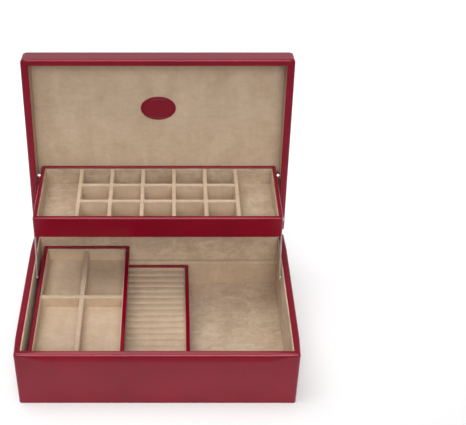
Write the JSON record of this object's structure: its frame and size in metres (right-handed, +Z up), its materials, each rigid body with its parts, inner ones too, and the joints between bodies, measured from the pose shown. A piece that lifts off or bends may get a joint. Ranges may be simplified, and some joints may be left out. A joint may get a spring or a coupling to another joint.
{
  "type": "leather jewellery case",
  "caption": "Hinged leather jewellery case with suede lining, a divided tray that rises level with the lid on pivots and arms, a loose compartment insert and a ring tray",
  "frame": {"origin": "middle of the underside of the base", "axes": "+X to the right seen from the front, +Y to the hinges at the back, +Z up"},
  "size_m": [0.31, 0.2809, 0.2985],
  "materials": {
    "red_leather": "smooth semi-gloss",
    "suede": "napped suede",
    "board": "raw board",
    "steel": "satin",
    "chrome": "polished",
    "felt": "pressed felt",
    "foam": "foam sheet"
  },
  "bodies": {
    "base": {"base_front_board": "board", "base_back_board": "board", "base_left_board": "board", "base_right_board": "board", "base_bottom_board": "board", "base_leather_wrap": "red_leather", "base_bottom_felt": "felt", "base_lining": "suede", "front_ledge": "suede", "back_ledge": "suede", "hinge_base_leaves": "steel", "hinge_pins": "steel", "arm_pivot_screws": "chrome"},
    "lid": {"lid_top_board": "board", "lid_front_board": "board", "lid_back_board": "board", "lid_left_board": "board", "lid_right_board": "board", "lid_padding": "foam", "lid_leather_cover": "red_leather", "lid_lining_panel": "suede", "lid_wall_lining": "suede", "lid_oval_patch": "red_leather", "hinge_lid_leaves": "steel", "tray_pivot_posts": "chrome"},
    "tray": {"tray_front_wall": "board", "tray_back_wall": "board", "tray_left_wall": "board", "tray_right_wall": "board", "tray_floor": "board", "tray_leather_wrap": "red_leather", "tray_lining": "suede", "tray_cross_divider_1": "suede", "tray_cross_divider_2": "suede", "tray_cross_divider_3": "suede", "tray_cross_divider_4": "suede", "tray_cross_divider_5": "suede", "tray_cross_divider_6": "suede", "tray_long_divider_1": "suede", "tray_long_divider_2": "suede", "tray_arm_screws": "chrome"},
    "arm_left": {"arm_left": "steel"},
    "arm_right": {"arm_right": "steel"},
    "insert": {"insert_front_wall": "board", "insert_back_wall": "board", "insert_left_wall": "board", "insert_right_wall": "board", "insert_floor": "board", "insert_leather_wrap": "red_leather", "insert_lining": "suede", "insert_long_divider": "suede", "insert_cross_divider": "suede"},
    "ring_tray": {"ring_tray_front_wall": "board", "ring_tray_back_wall": "board", "ring_tray_left_wall": "board", "ring_tray_right_wall": "board", "ring_tray_floor": "board", "ring_tray_leather_wrap": "red_leather", "ring_tray_lining": "suede", "ring_rolls": "suede"}
  },
  "joints": [
    {"name": "lid_hinge", "type": "hinge", "parent": "base", "child": "lid", "pos_m": [0, 0.1133, 0.0737], "axis": [1, 0, 0], "range_deg": [0, 95.4]},
    {"name": "tray_pivot", "type": "hinge", "parent": "lid", "child": "tray", "pos_m": [0, 0.13252, 0.14561], "axis": [1, 0, 0], "range_deg": [-95.4, 0]},
    {"name": "arm_left_pivot", "type": "hinge", "parent": "base", "child": "arm_left", "pos_m": [-0.14555, 0.0408, 0.0592], "axis": [1, 0, 0], "range_deg": [0, 95.4]},
    {"name": "arm_right_pivot", "type": "hinge", "parent": "base", "child": "arm_right", "pos_m": [0.14555, 0.0408, 0.0592], "axis": [1, 0, 0], "range_deg": [0, 95.4]},
    {"name": "insert_slide", "type": "slide", "parent": "base", "child": "insert", "axis": [1, 0, 0], "range_m": [0, 0.1799]},
    {"name": "ring_tray_slide", "type": "slide", "parent": "base", "child": "ring_tray", "axis": [1, 0, 0], "range_m": [-0.0768, 0.1098]}
  ],
  "couplings": [
    {"joint": "tray_pivot", "follows": "lid_hinge", "ratio": -1},
    {"joint": "arm_left_pivot", "follows": "lid_hinge", "ratio": 1},
    {"joint": "arm_right_pivot", "follows": "lid_hinge", "ratio": 1}
  ]
}
